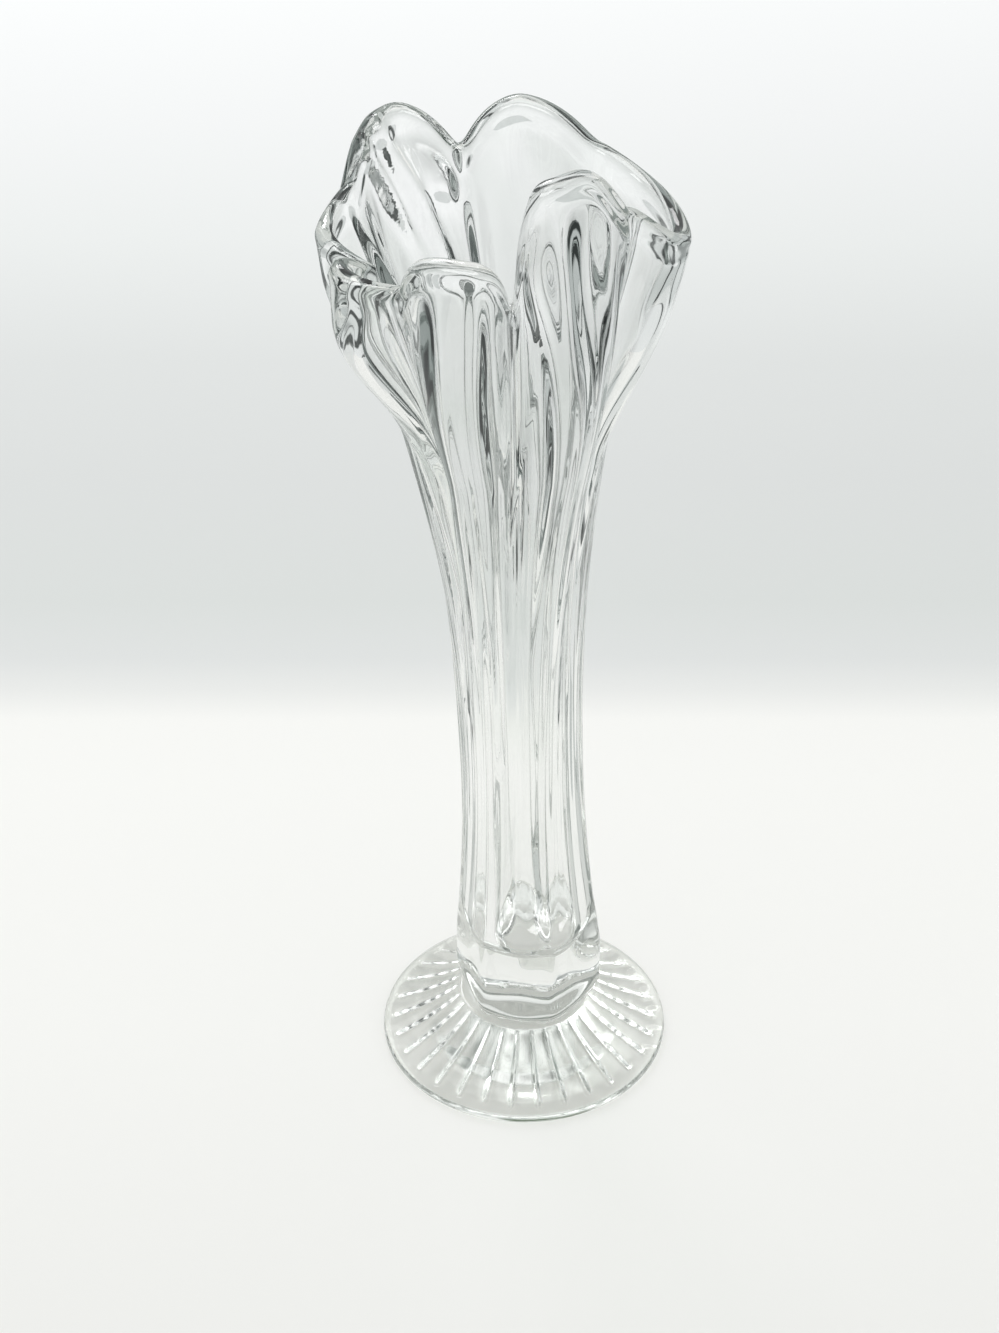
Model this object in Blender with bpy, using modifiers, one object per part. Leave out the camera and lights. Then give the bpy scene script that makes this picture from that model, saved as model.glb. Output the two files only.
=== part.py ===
"""Clear glass trumpet vase: a lobed body fused on a ribbed foot.

The body is one gather of glass. From below it has a solid block, a six-sided column round a cavity and
a trumpet mouth whose wall is pulled out into seven lobes with a creased fold between each two. Going up,
the narrow corners of the column widen, turn a little round the axis and open into the lobes, one of
them into a pair.

The foot is a second gather: a low dome with radial ribs pressed in its top and a smooth round edge.

Lengths are in metres and angles in degrees. +Z is up, the origin is the middle of the foot's underside,
and azimuths run counter-clockwise from +X as seen from above.
"""

import math
from collections import namedtuple

import bpy
import numpy as np

MM = 0.001
# Least share, where a width of nothing would divide
TINY = 1e-6

# Foot
FOOT_RADIUS = 38.5 * MM
FOOT_HEIGHT = 15.6 * MM
FOOT_EDGE_RADIUS = 1.5 * MM
FOOT_EDGE_SWEEP = 50.0
FOOT_SHOULDER_HEIGHT = 8.0 * MM
FOOT_SHOULDER_RADIUS = 26.0 * MM
FOOT_SEAT_RADIUS = 17.6 * MM
RIB_COUNT = 30
RIB_DEPTH = 1.7 * MM
GROOVE_SHARE = 0.6
GROOVE_WIDTH = 0.3
RIB_END_MARGIN = 3.1 * MM
BASE_DISC_RADIUS = 20.0 * MM
BASE_RING_WIDTH = 2.4 * MM
BASE_RECESS = 0.8 * MM

# Gap that the two gathers keep where they are fused
FUSE_GAP = 0.3 * MM

# Block and column, as radii out to the six corners
BLOCK_HEIGHT = 36.0 * MM
BLOCK_RADIUS = 19.7 * MM
BLOCK_EDGE_HEIGHT = 8.5 * MM
BLOCK_SEAT_RADIUS = 15.5 * MM
WAIST_HEIGHT = 97.0 * MM
WAIST_RADIUS = 15.9 * MM
BLOCK_BLEND_POWER = 1.8
CORNER_COUNT = 6
CORNER_AZIMUTH = 230.0
CORNER_ROUNDING = 0.16
PANEL_DEPTH = 0.12
SEAT_PANEL_DEPTH = 0.05

# Trumpet
THROAT_HEIGHT = 207.0 * MM
THROAT_RADIUS = 25.7 * MM
THROAT_POWER = 2.1
FOLD_DEPTH = 0.25
MOUTH_REACH = 46.0 * MM
MOUTH_RISE = 79.3 * MM
TWIST = 20.0
LEAN = 2.0
SEAT_SHIFT = 1.1 * MM
EARLY_REACH = 0.3
FOLD_ROUNDING = 0.25
CREASE_DEPTH = 1.5 * MM
CREASE_WIDTH = 0.6
CREASE_OPENING = 0.5
CREASE_FADE = 20.0 * MM

# Cavity and walls
FLOOR_HEIGHT = 35.0 * MM
FLOOR_ROUNDING = 8.0 * MM
PANEL_WALL = 2.6 * MM
RIM_WALL = 3.4 * MM
RIM_BEAD = 0.5
RIM_BEAD_HEIGHT = 7.0 * MM

# Each lobe and each fold of the rim: the azimuth that it grows from in the column, its azimuth at the
# rim, its distance from the mouth's middle as a share of the mouth's reach, the heights of its rim and of
# the place where its wall leaves the column's line, above the throat as shares of the mouth's rise, how
# far its lip turns upright, from 0 to 1, and how full the lobe or how deep the fold is. Each fold follows
# the lobe on the same line. The last two lobes are one corner's lobe, crimped in two.
Rim = namedtuple("Rim", "root azimuth reach rise start upright body")
LOBES = (
    Rim(230, 258, 0.87, 1.0, -0.09, 0.4, 3.2),
    Rim(290, 300, 0.695, 1.206, -0.09, 1.0, 3.8),
    Rim(350, 369, 1.043, 0.725, -0.09, 0.4, 2.0),
    Rim(410, 442, 1.0, 0.9, -0.09, 0.3, 1.7),
    Rim(470, 488, 1.0, 0.938, -0.09, 0.3, 2.2),
    Rim(518, 533, 0.99, 0.75, 0.1, 0.75, 2.2),
    Rim(542, 565, 0.97, 0.8, 0.1, 1.0, 2.4),
)
FOLDS = (
    Rim(260, 277.5, 0.587, 0.713, -0.21, 0.0, 1.0),
    Rim(320, 343, 0.783, 0.95, -0.21, 0.0, 1.0),
    Rim(380, 410, 0.891, 0.838, -0.21, 0.0, 1.0),
    Rim(440, 468, 0.717, 0.838, -0.21, 0.0, 1.0),
    Rim(500, 517, 0.94, 0.785, -0.21, 0.0, 1.0),
    Rim(530, 549, 0.77, 0.68, -0.05, 0.0, 0.8),
    Rim(560, 580, 0.739, 0.738, -0.21, 0.0, 1.0),
)
LOBE_COUNT = len(LOBES)

# Height of each fold's crease point above the throat, as a share of the mouth's rise, in the folds' order
CREASE_STARTS = (-0.34, 0.15, 0.1, -0.2, 0.1, 0.4, 0.1)

UPRIGHT = np.array([0.0, 0.0, 1.0])

# Clear glass
GLASS_TINT = (0.96, 0.98, 0.97, 1.0)
GLASS_ROUGHNESS = 0.02
GLASS_INDEX = 1.52

# Facets
COLUMNS_PER_LOBE = 12
BLOCK_LEVELS = 8
COLUMN_LEVELS = 8
MOUTH_LEVELS = 14
LIP_LEVELS = 3
FLOOR_LEVELS = 4
FOOT_STEPS_PER_RIB = 4
DOME_POINTS = 9
EDGE_POINTS = 5
SHARP_ANGLE = 40.0


def ease(t):
    """Smooth step from 0 to 1 with level ends."""
    t = np.clip(t, 0.0, 1.0)
    return t * t * (3.0 - 2.0 * t)


def rim_values(name, rims):
    """One value of each lobe or fold as an array."""
    return np.array([getattr(item, name) for item in rims])


def lobe_index(u):
    """The nearest lobe. u counts lobes round the rim, so folds lie at the halves."""
    return np.floor(u + 0.5).astype(int) % LOBE_COUNT


def fold_index(u):
    """The fold that lies between the same two lobes as u."""
    return np.floor(u).astype(int) % LOBE_COUNT


def fold_share(u):
    """0 at a lobe's middle and 1 at a fold's, in a straight line between them."""
    return 2.0 * np.abs(u - np.round(u))


def rounded_rise(t, rounding):
    """Straight rise from 0 to 1 with its lower end rounded off, for a bend that isn't a sharp crease."""
    return (np.sqrt(t**2 + rounding**2) - rounding) / (math.sqrt(1.0 + rounding**2) - rounding)


def lobe_shape(u):
    """0 at a lobe's middle and 1 at a fold's; a fuller lobe leaves the fold narrower."""
    clear = rounded_rise(1.0 - fold_share(u), FOLD_ROUNDING)
    return (1.0 - clear) ** rim_values("body", LOBES)[lobe_index(u)]


def round_rim(name, u, share):
    """A rim value round the mouth, from each lobe's own value to its neighbouring folds'."""
    lobe = rim_values(name, LOBES)[lobe_index(u)]
    fold = rim_values(name, FOLDS)[fold_index(u)]
    return lobe * (1.0 - share) + fold * share


def whole_turns(name, u):
    """An azimuth round the mouth that keeps growing past the last lobe."""
    turns = 360.0 * np.floor((u + 0.5) / LOBE_COUNT)
    return rim_values(name, LOBES)[lobe_index(u)] + turns


def round_azimuth(name, u):
    """Azimuth of a meridian at its root in the column or at the rim."""
    lobe = whole_turns(name, u)
    fold = rim_values(name, FOLDS)[fold_index(u)]
    share = fold_share(u)
    return lobe * (1.0 - share) + fold * share


def edge_share(z):
    """1 at the block's seat, falling on a quarter round to 0 above its bottom edge."""
    up = (z - FOOT_HEIGHT - FUSE_GAP) / BLOCK_EDGE_HEIGHT
    return 1.0 - np.sqrt(1.0 - np.clip(1.0 - up, 0.0, 1.0) ** 2)


def corner_radius(z):
    """Distance from the axis to the column's corners at height z, below the lobes."""
    down = np.clip((WAIST_HEIGHT - z) / (WAIST_HEIGHT - BLOCK_HEIGHT), 0.0, 1.0)
    below = WAIST_RADIUS + (BLOCK_RADIUS - WAIST_RADIUS) * down**BLOCK_BLEND_POWER
    below = below - (BLOCK_RADIUS - BLOCK_SEAT_RADIUS) * edge_share(z)
    rise = THROAT_HEIGHT - WAIST_HEIGHT
    up = np.clip((z - WAIST_HEIGHT) / rise, 0.0, 1.0)
    flare = THROAT_RADIUS - WAIST_RADIUS
    slope = flare * THROAT_POWER / rise
    above = WAIST_RADIUS + flare * up**THROAT_POWER + slope * np.maximum(z - THROAT_HEIGHT, 0.0)
    return np.where(z < WAIST_HEIGHT, below, above)


def panel_share(azimuth):
    """0 at a corner of the six-sided column and 1 in the middle of a panel."""
    bare = np.abs(np.sin(np.radians(azimuth - CORNER_AZIMUTH) * CORNER_COUNT / 2.0))
    return rounded_rise(bare, CORNER_ROUNDING)


def opening_share(z):
    """0 in the plain column and 1 where the corners have become full lobes."""
    return ease((z - WAIST_HEIGHT) / (THROAT_HEIGHT - WAIST_HEIGHT))


def fold_depth(z):
    """Share of the corner radius by which panels and folds lie inside the corners."""
    panel = PANEL_DEPTH + (SEAT_PANEL_DEPTH - PANEL_DEPTH) * edge_share(z)
    return panel + (FOLD_DEPTH - PANEL_DEPTH) * opening_share(z)


def axis_offset(z):
    """Sideways place of the body's axis, which leans to -X above the block."""
    return SEAT_SHIFT - math.tan(math.radians(LEAN)) * np.maximum(z - BLOCK_HEIGHT, 0.0)


def place(radius, azimuth, z):
    """Points at a radius and azimuth from the leaning axis."""
    angle = np.radians(azimuth)
    x = axis_offset(z) + radius * np.cos(angle)
    y = radius * np.sin(angle)
    return np.stack(np.broadcast_arrays(x, y, z), axis=-1)


def outer_wall(u, z):
    """Outer surface of the body on grids of u, in lobes round the axis, and of height z."""
    root = round_azimuth("root", u)
    shape = lobe_shape(u)
    depth = shape * rim_values("body", FOLDS)[fold_index(u)]
    open_share = opening_share(z)
    share = panel_share(root) * (1.0 - open_share) + depth * open_share
    radius = corner_radius(z) * (1.0 - fold_depth(z) * share) - crease_depth(u, z)
    start = THROAT_HEIGHT + MOUTH_RISE * round_rim("start", u, shape)
    reach = MOUTH_REACH * round_rim("reach", u, shape)
    upright = round_rim("upright", u, shape)
    rise = np.clip((z - start) / (rim_height(u) - start), 0.0, 1.0)
    pulled = (1.0 - upright) * rise**2 + upright * ease(rise * (1.0 + EARLY_REACH))
    radius = radius * (1.0 - pulled) + reach * pulled
    twist = TWIST * np.clip((z - BLOCK_HEIGHT) / (THROAT_HEIGHT - BLOCK_HEIGHT), 0.0, 1.0)
    own_turn = (round_azimuth("azimuth", u) - root - TWIST) * ease(rise)
    return place(radius, root + twist + own_turn, z)


def crease_depth(u, z):
    """Depth of the crease outside each fold: it deepens and widens from its point, and fades at the rim."""
    fold = fold_index(u)
    low = THROAT_HEIGHT + MOUTH_RISE * np.array(CREASE_STARTS)[fold]
    high = THROAT_HEIGHT + MOUTH_RISE * rim_values("rise", FOLDS)[fold]
    up = np.clip((z - low) / (high - low), 0.0, 1.0)
    across = (1.0 - fold_share(u)) / (CREASE_WIDTH * up + TINY)
    return CREASE_DEPTH * up**CREASE_OPENING * ease(1.0 - across) * ease((high - z) / CREASE_FADE)


def rim_height(u):
    """Height of the rim round the mouth."""
    return THROAT_HEIGHT + MOUTH_RISE * round_rim("rise", u, lobe_shape(u))


def unit(vectors):
    """Vectors scaled to length one."""
    return vectors / np.linalg.norm(vectors, axis=-1, keepdims=True)


def outward(points):
    """Level directions from the leaning axis out to each point."""
    return unit(points - place(0.0, 0.0, points[..., 2]))


def wall_normals(points):
    """Directions square to each meridian of a grid of points, in the meridian's own upright plane."""
    level = outward(points)
    up = np.gradient(points, axis=0)
    run = np.sum(up * level, axis=-1, keepdims=True)
    climb = up[..., 2:]
    return unit(climb * level - run * UPRIGHT)


def wall_thickness(u, z):
    """Thickness of the mouth's wall: a bead round the rim, and less in the creases, which the inside lacks."""
    bead = RIM_BEAD * (1.0 - ease((rim_height(u) - z) / RIM_BEAD_HEIGHT))
    return RIM_WALL * (1.0 + bead) - crease_depth(u, z)


def cavity_wall(outer):
    """Inner surface opposite each point of the outer one: round in the column, even in the mouth."""
    z = outer[..., 2]
    u = np.arange(outer.shape[1]) / COLUMNS_PER_LOBE
    even = outer - wall_thickness(u, z)[..., None] * wall_normals(outer)
    radius = corner_radius(z) * (1.0 - fold_depth(z)) - PANEL_WALL
    bore = place(0.0, 0.0, z) + radius[..., None] * outward(outer)
    share = opening_share(z)[..., None]
    return bore * (1.0 - share) + even * share


def lip(u, outer_rim, inner_rim):
    """Half-round rows over the rim, square to it on the lobes and upright in the folds."""
    middle = (outer_rim + inner_rim) / 2.0
    half = (outer_rim - inner_rim) / 2.0
    along = np.roll(middle, -1, axis=0) - np.roll(middle, 1, axis=0)
    square = unit(np.cross(half, along))
    turned = square * (1.0 - fold_share(u))[:, None] + UPRIGHT
    crown = unit(turned) * np.linalg.norm(half, axis=-1, keepdims=True)
    turns = math.pi * np.arange(1, LIP_LEVELS + 1)[:, None, None] / (LIP_LEVELS + 1)
    return middle + half * np.cos(turns) + crown * np.sin(turns)


def floor(brim):
    """Rows from the cavity's lowest wall row in to the middle of its floor, and that middle."""
    centre = place(0.0, 0.0, np.array([FLOOR_HEIGHT]))
    dip = np.linspace(0.0, math.pi / 2.0, FLOOR_LEVELS + 1)[1:-1][:, None, None]
    rows = centre + (brim - centre) * np.cos(dip)
    rows[..., 2] = brim[:, 2] - FLOOR_ROUNDING * np.sin(dip[..., 0])
    return rows, centre[0]


def spaced(start, stop, count):
    """Heights from start up to stop, without the last."""
    return np.linspace(start, stop, count, endpoint=False)


def wall_heights(u):
    """Heights of the outer wall's rows at each meridian, from the block's seat up to the rim."""
    seat = FOOT_HEIGHT + FUSE_GAP
    edge_top = seat + BLOCK_EDGE_HEIGHT
    turns = spaced(0.0, math.pi / 2.0, BLOCK_LEVELS // 2)
    edge = edge_top - BLOCK_EDGE_HEIGHT * np.cos(turns)
    column_foot = FLOOR_HEIGHT + FLOOR_ROUNDING
    throat = THROAT_HEIGHT + MOUTH_RISE * min(fold.start for fold in FOLDS)
    block = spaced(edge_top, column_foot, BLOCK_LEVELS - len(edge))
    column = spaced(column_foot, throat, COLUMN_LEVELS)
    plain = np.concatenate([edge, block, column])[:, None]
    mouth = throat + (rim_height(u) - throat) * np.linspace(0.0, 1.0, MOUTH_LEVELS)[:, None]
    return np.concatenate([np.broadcast_to(plain, (len(plain), len(u))), mouth])


def body_rows():
    """Rings of points from the block's seat up the outside, over the lip and down to the cavity floor."""
    u = np.arange(COLUMNS_PER_LOBE * LOBE_COUNT) / COLUMNS_PER_LOBE
    outer = outer_wall(u, wall_heights(u))
    inner = cavity_wall(outer)[BLOCK_LEVELS:]
    floor_rows, centre = floor(inner[0])
    return np.concatenate([outer, lip(u, outer[-1], inner[-1]), inner[::-1], floor_rows]), centre


def closed_loft(rows, first_pole, last_pole):
    """Vertices and faces of rings joined into one closed skin with a point at each end."""
    count, columns = rows.shape[:2]
    points = np.concatenate([rows.reshape(-1, 3), [first_pole, last_pole]])
    ring = np.arange(columns)
    following = (ring + 1) % columns
    faces = []
    for row in range(count - 1):
        low, high = row * columns, (row + 1) * columns
        faces.extend(np.stack([low + ring, low + following, high + following, high + ring], axis=1).tolist())
    bottom, top = count * columns, count * columns + 1
    last = (count - 1) * columns
    faces.extend(np.stack([following, ring, np.full(columns, bottom)], axis=1).tolist())
    faces.extend(np.stack([last + ring, last + following, np.full(columns, top)], axis=1).tolist())
    return points, faces


def clear_glass(name):
    """Material of clear, nearly colourless glass."""
    material = bpy.data.materials.new(name)
    material.use_nodes = True
    shader = material.node_tree.nodes["Principled BSDF"]
    shader.inputs["Base Color"].default_value = GLASS_TINT
    shader.inputs["Roughness"].default_value = GLASS_ROUGHNESS
    shader.inputs["Metallic"].default_value = 0.0
    shader.inputs["IOR"].default_value = GLASS_INDEX
    shader.inputs["Transmission Weight"].default_value = 1.0
    return material


def lobed_body(collection):
    """The body: a loft from the six-sided column to the lobed mouth, with its cavity."""
    rows, floor_centre = body_rows()
    seat_centre = (SEAT_SHIFT, 0.0, FOOT_HEIGHT + FUSE_GAP)
    points, faces = closed_loft(rows, seat_centre, floor_centre)
    mesh = bpy.data.meshes.new("lobed_body")
    mesh.from_pydata(points.tolist(), [], faces)
    mesh.shade_smooth()
    mesh.materials.append(clear_glass("body_glass"))
    body = bpy.data.objects.new("lobed_body", mesh)
    collection.objects.link(body)
    return body


def foot_profile():
    """Half section of the foot, from the middle of its seat down the outside to its underside's middle."""
    edge_turns = np.linspace(math.radians(FOOT_EDGE_SWEEP), math.radians(-90.0), EDGE_POINTS)
    edge_middle = FOOT_RADIUS - FOOT_EDGE_RADIUS
    edge = [
        (edge_middle + FOOT_EDGE_RADIUS * math.cos(a), FOOT_EDGE_RADIUS * (1.0 + math.sin(a)))
        for a in edge_turns
    ]
    start = (FOOT_SEAT_RADIUS, FOOT_HEIGHT)
    shoulder = (FOOT_SHOULDER_RADIUS, FOOT_SHOULDER_HEIGHT)
    dome = []
    for t in np.linspace(0.0, 1.0, DOME_POINTS)[1:-1]:
        weights = ((1.0 - t) ** 2, 2.0 * t * (1.0 - t), t**2)
        dome.append(tuple(sum(w * p[i] for w, p in zip(weights, (start, shoulder, edge[0]))) for i in (0, 1)))
    ring_inner = edge_middle - BASE_RING_WIDTH
    underside = [
        (ring_inner, 0.0),
        (ring_inner - BASE_RECESS, BASE_RECESS),
        (BASE_DISC_RADIUS + BASE_RECESS, BASE_RECESS),
        (BASE_DISC_RADIUS, 0.0),
    ]
    return [(0.0, FOOT_HEIGHT), start, *dome, *edge, *underside, (0.0, 0.0)]


def ribbed_foot(collection):
    """The foot: a turned dome, then ribs pressed in its top between the seat and the edge."""
    profile = foot_profile()
    mesh = bpy.data.meshes.new("foot_profile")
    mesh.from_pydata([(x, 0.0, z) for x, z in profile], [(i, i + 1) for i in range(len(profile) - 1)], [])
    turned = bpy.data.objects.new("foot_profile", mesh)
    collection.objects.link(turned)
    screw = turned.modifiers.new("turn", "SCREW")
    screw.steps = screw.render_steps = RIB_COUNT * FOOT_STEPS_PER_RIB
    screw.use_merge_vertices = True
    screw.merge_threshold = 0.00001
    evaluated = turned.evaluated_get(bpy.context.evaluated_depsgraph_get())
    solid = bpy.data.meshes.new_from_object(evaluated)
    bpy.data.objects.remove(turned)
    press_ribs(solid)
    solid.name = "ribbed_foot"
    solid.shade_smooth()
    solid.set_sharp_from_angle(angle=math.radians(SHARP_ANGLE))
    solid.materials.append(clear_glass("foot_glass"))
    foot = bpy.data.objects.new("ribbed_foot", solid)
    collection.objects.link(foot)
    return foot


def press_ribs(mesh):
    """Lowers the dome between the ribs: broad rounded ribs with a narrow groove between each two."""
    flat = np.empty(len(mesh.vertices) * 3)
    mesh.vertices.foreach_get("co", flat)
    points = flat.reshape(-1, 3)
    radius = np.hypot(points[:, 0], points[:, 1])
    angle = np.arctan2(points[:, 1], points[:, 0])
    swing = np.abs(np.sin(angle * RIB_COUNT / 2.0))
    groove = (1.0 - GROOVE_SHARE) * (1.0 - swing) + GROOVE_SHARE * np.exp(-swing / GROOVE_WIDTH)
    rib_end = FOOT_RADIUS - RIB_END_MARGIN
    fade = ease((radius - FOOT_SEAT_RADIUS) / RIB_END_MARGIN) * ease((rib_end - radius) / RIB_END_MARGIN)
    on_top = points[:, 2] > 2.0 * BASE_RECESS
    points[:, 2] -= np.where(on_top, RIB_DEPTH * groove * fade, 0.0)
    mesh.vertices.foreach_set("co", points.ravel())
    mesh.update()


def main():
    """Clears the scene and builds the vase in a collection of its own."""
    for item in list(bpy.data.objects):
        bpy.data.objects.remove(item)
    collection = bpy.data.collections.new("trumpet_vase")
    bpy.context.scene.collection.children.link(collection)
    ribbed_foot(collection)
    lobed_body(collection)


main()
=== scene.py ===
"""Clear glass trumpet vase: a blown body with a lobed mouth, fused on a ribbed foot, on a pale table.

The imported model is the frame. Each of its two solids is replaced by a finer skin of nearly the same sizes,
so that the glass bends light on smooth walls. The body has, from below, a solid block, a six-sided column
round a cavity and a trumpet mouth whose wall is pulled out into seven lobes with a creased fold between
each two. The foot is a low dome with radial grooves pressed in its top and a finely ground underside.

Lengths are in metres and angles in degrees, unless a name says otherwise. +Z is up, the origin is the
middle of the foot's underside, and azimuths run counter-clockwise from +X as seen from above.
"""

from __future__ import annotations

import logging
import math
from collections.abc import Sequence
from dataclasses import dataclass, fields
from enum import Enum
from typing import Any

import bpy
import numpy as np
from numpy.typing import NDArray
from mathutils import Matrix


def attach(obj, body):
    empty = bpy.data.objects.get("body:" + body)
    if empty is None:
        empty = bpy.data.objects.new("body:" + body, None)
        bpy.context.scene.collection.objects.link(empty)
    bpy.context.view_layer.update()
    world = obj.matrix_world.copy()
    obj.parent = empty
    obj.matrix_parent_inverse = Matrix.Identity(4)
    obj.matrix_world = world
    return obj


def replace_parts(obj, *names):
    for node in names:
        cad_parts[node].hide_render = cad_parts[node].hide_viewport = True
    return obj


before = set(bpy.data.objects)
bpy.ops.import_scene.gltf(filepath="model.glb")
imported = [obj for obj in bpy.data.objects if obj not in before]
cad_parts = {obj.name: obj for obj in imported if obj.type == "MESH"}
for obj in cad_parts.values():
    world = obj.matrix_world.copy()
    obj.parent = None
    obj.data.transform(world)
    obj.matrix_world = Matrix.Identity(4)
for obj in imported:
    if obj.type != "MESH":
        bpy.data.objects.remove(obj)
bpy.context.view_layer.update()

LOG = logging.getLogger("trumpet_vase")
Array = NDArray[np.float64]
MM = 0.001
UPRIGHT = np.array([0.0, 0.0, 1.0])
# Least share, where a width of nothing would divide
TINY = 1e-6
# How many waves or flutes go round the body: from the first number to one less than the second
WAVE_NUMBERS = (4, 24)
FLUTE_NUMBERS = (10, 42)
# Random seeds of the waves and flutes, one for each surface that has them
WALL_WAVE_SEED = 3
WALL_STREAK_SEED = 4
BORE_FLUTE_SEED = 5
CORNER_FLUTE_SEED = 7


class Face(Enum):
    """What a face of the glass is. The value is its material slot."""

    POLISHED = 0
    FUSED = 1
    GROUND = 2


def linear(hex_colour: str) -> tuple[float, float, float, float]:
    """Turns an sRGB hex colour to linear light.

    Args:
        hex_colour: The colour as RRGGBB.

    Returns:
        Red, green, blue and an alpha of 1. Each channel follows the sRGB curve.
    """
    channels = (int(hex_colour[i : i + 2], 16) / 255.0 for i in (0, 2, 4))
    turned = [c / 12.92 if c <= 0.04045 else ((c + 0.055) / 1.055) ** 2.4 for c in channels]
    return (turned[0], turned[1], turned[2], 1.0)


def add_node(
    tree: bpy.types.NodeTree,
    kind: str,
    links: dict[Any, Any] | None = None,
    stops: Sequence[tuple[float, str]] = (),
    **settings: Any,
) -> Any:
    """Adds a shader node with its settings, input values and links.

    Args:
        tree: The node tree that gets the node.
        kind: The node's type name.
        links: What each input gets, by the input's name or number: an output socket or a plain value.
        stops: Place and sRGB hex colour of each stop of a colour ramp, in rising order.
        settings: Properties of the node itself.

    Returns:
        The new node's outputs.
    """
    node = tree.nodes.new(kind)
    for name, value in settings.items():
        setattr(node, name, value)
    for key, value in (links or {}).items():
        if isinstance(value, bpy.types.NodeSocket):
            tree.links.new(value, node.inputs[key])
        else:
            node.inputs[key].default_value = value
    for number, (place, tone) in enumerate(stops):
        points = node.color_ramp.elements
        point = points[number] if number < len(points) else points.new(place)
        point.position = place
        point.color = linear(tone)
    return node.outputs


def ease(t: Array | float) -> Array:
    """Smooth step from 0 to 1 with level ends: 3t squared less 2t cubed."""
    t = np.clip(t, 0.0, 1.0)
    return t * t * (3.0 - 2.0 * t)


def unit(vectors: Array) -> Array:
    """Vectors scaled to length one."""
    return vectors / np.linalg.norm(vectors, axis=-1, keepdims=True)


def rounded_rise(t: Array, rounding: float) -> Array:
    """Straight rise from 0 to 1 whose lower end is a hyperbola's round vertex.

    Args:
        t: The place along the rise, 0 to 1.
        rounding: The size of the rounded end, in the units of t.

    Returns:
        The root of t squared plus rounding squared, shifted and scaled to run from 0 to 1.
    """
    return (np.sqrt(t**2 + rounding**2) - rounding) / (math.sqrt(1.0 + rounding**2) - rounding)


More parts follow.
